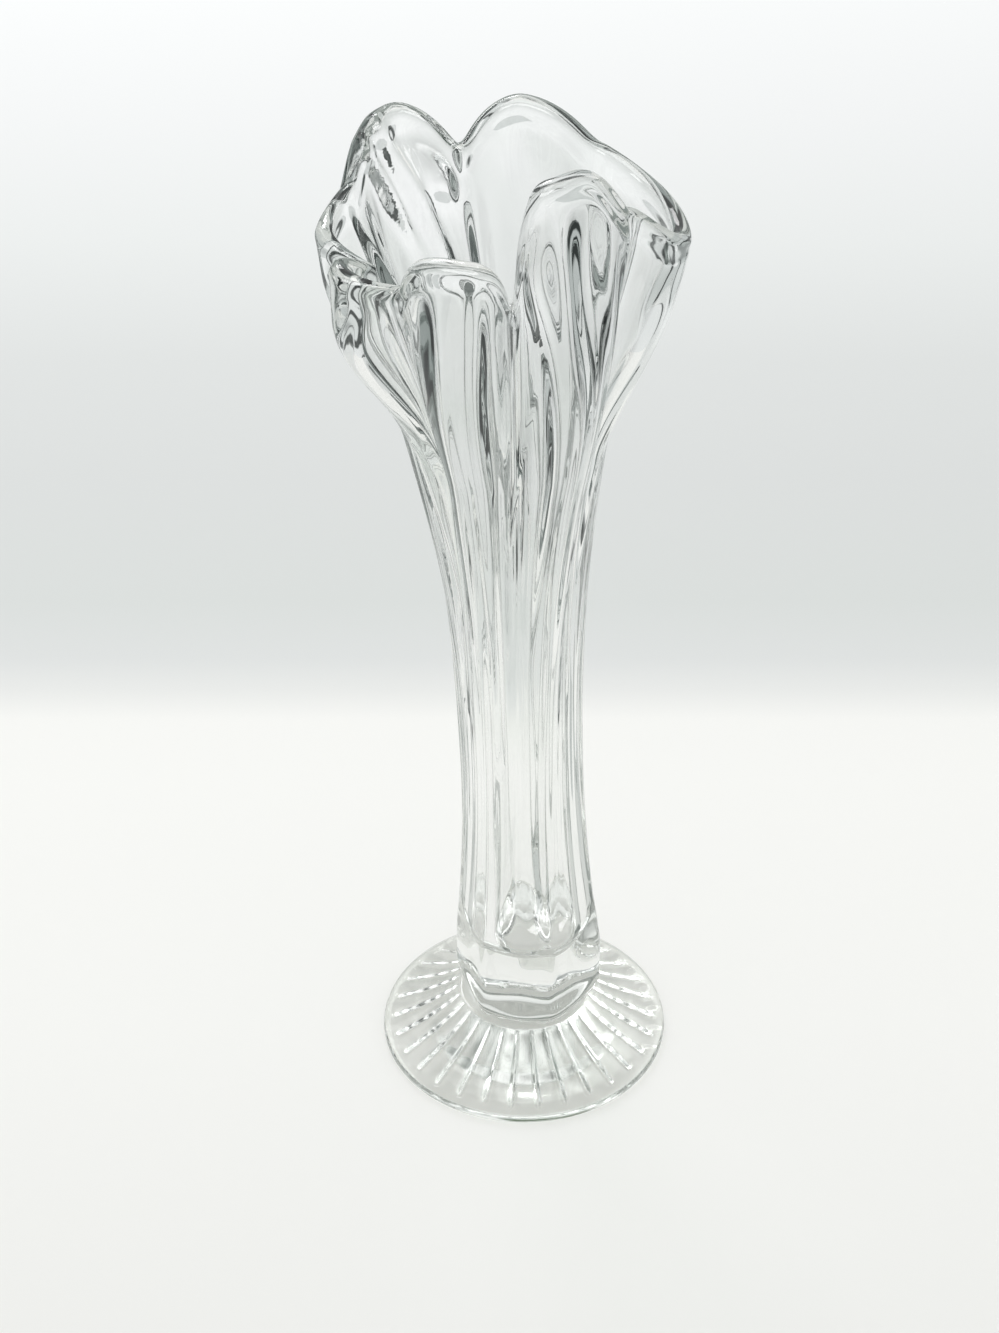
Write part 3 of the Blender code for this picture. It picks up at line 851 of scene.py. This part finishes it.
@dataclass
class RibbedFoot:
    """The pressed foot: a low grooved dome with a round edge and a ground, faintly hollow underside.

    The fields in MM are lengths, and the others counts, angles and shares.
    """

    finish: GlassFinish
    body: LobedBody
    radius: float = 38.5 * MM
    height: float = 15.6 * MM
    edge_radius: float = 1.5 * MM
    edge_sweep: float = 50.0
    shoulder_height: float = 8.0 * MM
    shoulder_radius: float = 26.0 * MM
    seat_radius: float = 17.6 * MM
    rib_count: int = 30
    rib_depth: float = 0.9 * MM
    rib_swell_share: float = 0.3
    groove_width: float = 0.28
    groove_inner_share: float = 0.7
    groove_growth: float = 0.6
    rib_end_margin: float = 2.2 * MM
    base_disc_radius: float = 20.0 * MM
    base_ring_width: float = 1.0 * MM
    base_recess: float = 0.3 * MM
    recess_slope: float = 5.0 * MM
    underside_inner_share: float = 0.5
    underside_levels: int = 60
    steps_per_rib: int = 24
    seat_levels: int = 6
    dome_levels: int = 48
    edge_levels: int = 20

    def build(self) -> bpy.types.Object:
        """Builds the foot's closed skin and dresses it.

        Returns:
            The piece, which stands for the CAD foot.
        """
        angle = np.linspace(0.0, 360.0, self.rib_count * self.steps_per_rib, endpoint=False)
        ring = np.stack([np.cos(np.radians(angle)), np.sin(np.radians(angle)), np.zeros(len(angle))], axis=1)
        profile = self.profile()
        turned = ring * profile[:, :1, None] + UPRIGHT * profile[:, 1:, None]
        turned[..., 2] -= self.rib_fall(angle, profile)
        outline = self.body.seat_outline(angle)
        outline[:, 2] = self.height
        share = np.linspace(0.0, 1.0, self.seat_levels, endpoint=False)[:, None, None]
        seat = outline * (1.0 - share) + turned[0] * share
        rows = np.concatenate([seat, turned])[::-1]
        top = np.array([self.body.seat_shift, 0.0, self.height])
        skin = ClosedSkin(rows, np.zeros(3), top, len(rows), self.underside_levels)
        piece = skin.object("pressed_foot", self.finish)
        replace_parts(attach(piece, "root"), "ribbed_foot")
        return piece

    def profile(self) -> Array:
        """Half section of the foot from the seat's edge down the outside to the underside's disc.

        The dome is a quadratic curve from the seat to the edge, drawn towards the shoulder. The edge is
        part of a circle. The underside rises by an eased step from its outer ring into a recess and comes
        down by another to the flat disc.

        Returns:
            Radius and height of each point.
        """
        turns = np.radians(np.linspace(self.edge_sweep, -90.0, self.edge_levels))
        edge_middle = self.radius - self.edge_radius
        edge = np.stack(
            [edge_middle + self.edge_radius * np.cos(turns), self.edge_radius * (1.0 + np.sin(turns))], axis=1
        )
        start = np.array([self.seat_radius, self.height])
        shoulder = np.array([self.shoulder_radius, self.shoulder_height])
        t = np.linspace(0.0, 1.0, self.dome_levels, endpoint=False)[:, None]
        dome = (1.0 - t) ** 2 * start + 2.0 * t * (1.0 - t) * shoulder + t**2 * edge[0]
        ring_inner = edge_middle - self.base_ring_width
        innermost = self.underside_inner_share * self.base_disc_radius
        radius = np.linspace(ring_inner, innermost, self.underside_levels)
        from_ring = ease((ring_inner - radius) / self.recess_slope)
        from_disc = ease((radius - self.base_disc_radius) / self.recess_slope)
        underside = np.stack([radius, self.base_recess * from_ring * from_disc], axis=1)
        return np.concatenate([dome, edge, underside])

    def rib_fall(self, angle: Array, profile: Array) -> Array:
        """How far the top lies below the dome: narrow grooves between broad ribs, faded at both ends.

        With the sine of the angle as the way across a rib, the fall is a straight slope from the groove to
        the rib's middle and a bell of the groove's width on top of it, both deeper towards the edge.

        Args:
            angle: Azimuths of the columns.
            profile: Radius and height of the rows.

        Returns:
            A grid of falls, 0 on the edge and the underside.
        """
        swing = np.abs(np.sin(np.radians(angle) * self.rib_count / 2.0))
        bell = np.exp(-((swing / self.groove_width) ** 2))
        groove = self.rib_swell_share * (1.0 - swing) + (1.0 - self.rib_swell_share) * bell
        radius = profile[:, :1]
        fade = ease((radius - self.seat_radius) / self.rib_end_margin)
        fade = fade * ease((self.radius - self.rib_end_margin - radius) / (0.5 * self.rib_end_margin))
        on_top = np.arange(len(profile))[:, None] < self.dome_levels
        outwards = (radius - self.seat_radius) / (self.radius - self.seat_radius)
        deeper = self.groove_inner_share + self.groove_growth * outwards
        return np.where(on_top, self.rib_depth * deeper * fade * groove, 0.0)


@dataclass(frozen=True)
class Patch:
    """A soft-edged box of directions in the room, which the glass sees brighter or darker.

    low and high are the box's corners, and a direction is a point on the unit sphere. soft is the width
    of the edge. strength is the light that a window adds, where 1 is white, and outer_only keeps it to
    reflections on the outside of the glass.
    """

    low: tuple[float, float, float]
    high: tuple[float, float, float]
    soft: float = 0.12
    strength: float = 0.0
    outer_only: bool = False

    def share(self, tree: bpy.types.NodeTree, way: bpy.types.NodeSocket) -> bpy.types.NodeSocket:
        """Adds nodes for the patch's share in each direction.

        The least distance inside the box's six sides, over the width of the soft edge, held to 0 and 1.

        Args:
            tree: The world's node tree.
            way: The direction.

        Returns:
            The share's socket.
        """
        middle = [(a + b) / 2.0 for a, b in zip(self.low, self.high)]
        half = [(b - a) / 2.0 for a, b in zip(self.low, self.high)]
        offset = add_node(tree, "ShaderNodeVectorMath", {0: way, 1: middle}, operation="SUBTRACT")[0]
        away = add_node(tree, "ShaderNodeVectorMath", {0: offset}, operation="ABSOLUTE")[0]
        inside = add_node(tree, "ShaderNodeVectorMath", {0: half, 1: away}, operation="SUBTRACT")[0]
        sides = add_node(tree, "ShaderNodeSeparateXYZ", {"Vector": inside})
        least = sides["X"]
        for side in (sides["Y"], sides["Z"]):
            least = add_node(tree, "ShaderNodeMath", {0: least, 1: side}, operation="MINIMUM")[0]
        edge = {"Value": least, "From Max": self.soft}
        return add_node(tree, "ShaderNodeMapRange", edge)["Result"]


# Dark bands left and right of the vase: an inner pair below the horizon, an outer pair to well above it
DARK_BANDS = (
    Patch((-0.52, -1.1, -1.1), (-0.34, 1.1, -0.1), 0.04),
    Patch((0.34, -1.1, -1.1), (0.52, 1.1, -0.1), 0.04),
    Patch((-0.88, -1.1, -1.1), (-0.7, 1.1, 0.6), 0.04),
    Patch((0.7, -1.1, -1.1), (0.88, 1.1, 0.6), 0.04),
)
# A window before the vase, a skylight above it and a paler window on each side
WINDOWS = (
    Patch((-0.8, -1.05, 0.1), (0.8, -0.55, 0.62), strength=6.0, outer_only=True),
    Patch((-0.45, -0.75, 0.62), (0.45, -0.1, 1.02), strength=4.0, outer_only=True),
    Patch((-0.8, -0.4, 0.2), (-0.45, 0.7, 0.85), strength=1.6),
    Patch((0.45, -0.4, 0.2), (0.8, 0.7, 0.85), strength=1.6),
)
# The room's tone by height, from straight down at 0 over the horizon at 0.5 to straight up at 1
ROOM_TONES = (
    (0.0, "DADCDC"),
    (0.38, "C0C4C3"),
    (0.45, "8A8E8D"),
    (0.53, "949897"),
    (0.6, "E9EAEA"),
    (0.8, "FBFCFC"),
)
# Painted shade on the table by how far it lies behind the vase's axis, in mm: darkest from 140 to 300 mm
TABLE_PAINTED_SHADE = (
    (-115, "F0F0ED"),
    (0, "F5F5F2"),
    (100, "F6F6F3"),
    (127, "F5F5F2"),
    (140, "E8E9E7"),
    (154, "DEE0DF"),
    (180, "D9DCDA"),
    (240, "DADCDB"),
    (298, "DDDFDE"),
    (361, "E7E9E8"),
    (428, "EEEFEF"),
    (498, "F4F5F5"),
)


@dataclass
class Studio:
    """Pale table, soft light and the camera."""

    floor_drop: float = 0.05 * MM
    table_half_width: float = 0.2
    table_near_y: float = -1.3
    table_far_y: float = 0.67
    shade_near_y: float = -0.12
    shade_far_y: float = 0.52
    table_glow_share: float = 0.5
    room_strength: float = 1.25
    dark_hex: str = "3A3E3D"
    front_dark_from: float = -0.35
    front_dark_full: float = -0.6
    even_hex: str = "F4F6F6"
    even_strength: float = 0.9
    backdrop_hex: str = "F6F7F7"
    panel_place: tuple[float, float, float] = (-0.25, 0.7, 0.85)
    panel_size: tuple[float, float] = (0.45, 0.3)
    panel_watts: float = 3.4
    aim_height: float = 0.15
    camera_place: tuple[float, float, float] = (-6.75 * MM, -1117.0 * MM, 1098.0 * MM)
    camera_pitch: float = 49.1
    camera_lens_mm: float = 153.3
    camera_sensor_mm: float = 36.0

    def build(self) -> None:
        """Builds the table, the world, the lamp and the camera."""
        self.table()
        self.world()
        self.lamp()
        self.camera()

    def table(self) -> None:
        """Lays a long pale table with painted shade that runs from near to far."""
        near, far, side = self.table_near_y, self.table_far_y, self.table_half_width
        outline = ((-side, near), (side, near), (side, far), (-side, far))
        corners = [(x, y, -self.floor_drop) for x, y in outline]
        mesh = bpy.data.meshes.new("table")
        mesh.from_pydata(corners, [], [(0, 1, 2, 3)])
        mesh.materials.append(self.table_paper())
        table = bpy.data.objects.new("table", mesh)
        bpy.context.scene.collection.objects.link(table)

    def table_paper(self) -> bpy.types.Material:
        """Matt white paper, which shows no sheen, with painted shade by distance and a soft shadow.

        Half of its tone glows by itself, which keeps the shadow as pale as on a well lit table.

        Returns:
            The material.
        """
        material = bpy.data.materials.new("matt_white_paper")
        material.use_nodes = True
        tree = material.node_tree
        tree.nodes.clear()
        place = add_node(tree, "ShaderNodeTexCoord")["Object"]
        axes = add_node(tree, "ShaderNodeSeparateXYZ", {"Vector": place})
        reach = {"Value": axes["Y"], "From Min": self.shade_near_y, "From Max": self.shade_far_y}
        along = add_node(tree, "ShaderNodeMapRange", reach)["Result"]
        span = self.shade_far_y - self.shade_near_y
        stops = [((y_mm * MM - self.shade_near_y) / span, tone) for y_mm, tone in TABLE_PAINTED_SHADE]
        # The tone is painted shade, darker in a band behind the vase
        tone = add_node(tree, "ShaderNodeValToRGB", {"Fac": along}, stops)["Color"]
        glow = add_node(tree, "ShaderNodeEmission", {"Color": tone})[0]
        paper = add_node(tree, "ShaderNodeBsdfDiffuse", {"Color": tone})[0]
        layers = {0: self.table_glow_share, 1: glow, 2: paper}
        mixed = add_node(tree, "ShaderNodeMixShader", layers)[0]
        add_node(tree, "ShaderNodeOutputMaterial", {"Surface": mixed})
        return material

    def world(self) -> None:
        """Lights the scene evenly, shows a pale backdrop, and gives the glass a room to bend."""
        world = bpy.data.worlds.new("soft_room")
        bpy.context.scene.world = world
        world.use_nodes = True
        tree = world.node_tree
        tree.nodes.clear()
        path = add_node(tree, "ShaderNodeLightPath")
        seen = self.room(tree, path)
        plain = {"Color": linear(self.even_hex), "Strength": self.even_strength}
        even = add_node(tree, "ShaderNodeBackground", plain)[0]
        backdrop = add_node(tree, "ShaderNodeBackground", {"Color": linear(self.backdrop_hex)})[0]
        from_glass = {0: path["Is Glossy Ray"], 1: path["Is Transmission Ray"]}
        bent = add_node(tree, "ShaderNodeMath", from_glass, operation="MAXIMUM")[0]
        light = add_node(tree, "ShaderNodeMixShader", {0: bent, 1: even, 2: seen})[0]
        whole = {0: path["Is Camera Ray"], 1: light, 2: backdrop}
        surface = add_node(tree, "ShaderNodeMixShader", whole)[0]
        add_node(tree, "ShaderNodeOutputWorld", {"Surface": surface})

    def room(self, tree: bpy.types.NodeTree, path: Any) -> bpy.types.NodeSocket:
        """Adds the room that the glass sees: its tones by height, dark parts and windows.

        Reflections on the outside of the glass also see a dark front, in which the windows stand out.

        Args:
            tree: The world's node tree.
            path: The outputs of its Light Path node.

        Returns:
            The room's shader socket.
        """
        way = add_node(tree, "ShaderNodeTexCoord")["Generated"]
        axes = add_node(tree, "ShaderNodeSeparateXYZ", {"Vector": way})
        # The transmission depth is 0 until the glass bends the ray
        first = {0: path["Transmission Depth"], 1: 0.5}
        unbent = add_node(tree, "ShaderNodeMath", first, operation="LESS_THAN")[0]
        mirrored = {0: unbent, 1: path["Is Glossy Ray"]}
        outside = add_node(tree, "ShaderNodeMath", mirrored, operation="MULTIPLY")[0]
        level = {"Value": axes["Z"], "From Min": -1.0, "From Max": 1.0}
        height = add_node(tree, "ShaderNodeMapRange", level)["Result"]
        tone = add_node(tree, "ShaderNodeValToRGB", {"Fac": height}, ROOM_TONES)["Color"]
        near = {"Value": axes["Y"], "From Min": self.front_dark_from, "From Max": self.front_dark_full}
        front = add_node(tree, "ShaderNodeMapRange", near)["Result"]
        dark = add_node(tree, "ShaderNodeMath", {0: front, 1: outside}, operation="MULTIPLY")[0]
        for band in DARK_BANDS:
            share = band.share(tree, way)
            dark = add_node(tree, "ShaderNodeMath", {0: dark, 1: share}, operation="MAXIMUM")[0]
        shades = {0: dark, 6: tone, 7: linear(self.dark_hex)}
        shaded = add_node(tree, "ShaderNodeMix", shades, data_type="RGBA")[2]
        walls = {"Color": shaded, "Strength": self.room_strength}
        seen = add_node(tree, "ShaderNodeBackground", walls)[0]
        for window in WINDOWS:
            share = window.share(tree, way)
            if window.outer_only:
                kept = {0: share, 1: outside}
                share = add_node(tree, "ShaderNodeMath", kept, operation="MULTIPLY")[0]
            scaled = {0: share, 1: window.strength}
            shine = add_node(tree, "ShaderNodeMath", scaled, operation="MULTIPLY")[0]
            glare = {"Color": linear("FFFFFF"), "Strength": shine}
            light = add_node(tree, "ShaderNodeBackground", glare)[0]
            seen = add_node(tree, "ShaderNodeAddShader", {0: seen, 1: light})[0]
        return seen

    def lamp(self) -> None:
        """Hangs a wide soft panel behind and above the vase, turned to face the vase's middle."""
        lamp = bpy.data.lights.new("back_panel", "AREA")
        lamp.shape = "RECTANGLE"
        lamp.size, lamp.size_y = self.panel_size
        lamp.energy = self.panel_watts
        holder = bpy.data.objects.new("back_panel", lamp)
        bpy.context.scene.collection.objects.link(holder)
        holder.location = self.panel_place
        away = np.array(self.panel_place) - self.aim_height * UPRIGHT
        level = math.hypot(away[0], away[1])
        holder.rotation_euler = (math.atan2(level, away[2]), 0.0, math.atan2(away[0], -away[1]))
        holder.visible_camera = False

    def camera(self) -> None:
        """Sets the camera at the photograph's place, pitch and field of view."""
        data = bpy.data.cameras.new("camera")
        data.sensor_fit = "VERTICAL"
        data.sensor_height = self.camera_sensor_mm
        data.lens = self.camera_lens_mm
        data.clip_start = 0.01
        data.clip_end = 20.0
        camera = bpy.data.objects.new("camera", data)
        bpy.context.scene.collection.objects.link(camera)
        camera.location = self.camera_place
        camera.rotation_euler = (math.radians(self.camera_pitch), 0.0, 0.0)
        bpy.context.scene.camera = camera
        bpy.context.scene.view_settings.view_transform = "Standard"


def report(piece: bpy.types.Object) -> None:
    """Logs a piece's name and how many faces it has."""
    LOG.info("%s: %d faces", piece.name, len(piece.data.polygons))


def main() -> None:
    """Builds the body, the foot and the studio, and reports each piece."""
    logging.basicConfig(level=logging.INFO, format="%(name)s: %(message)s")
    body = LobedBody(GlassFinish("blown_body_glass"))
    report(body.build())
    # The foot's glass is a greyer copy of the body's: its clear and veil colours are painted shade over the
    # whole foot
    foot_glass_painted_shade = GlassFinish("pressed_foot_glass", clear_hex="F6F7F5", veil_and_shade_hex="EDEFEC", lamp_hex="CBCECA")
    report(RibbedFoot(foot_glass_painted_shade, body).build())
    Studio().build()


if __name__ == "__main__":
    main()
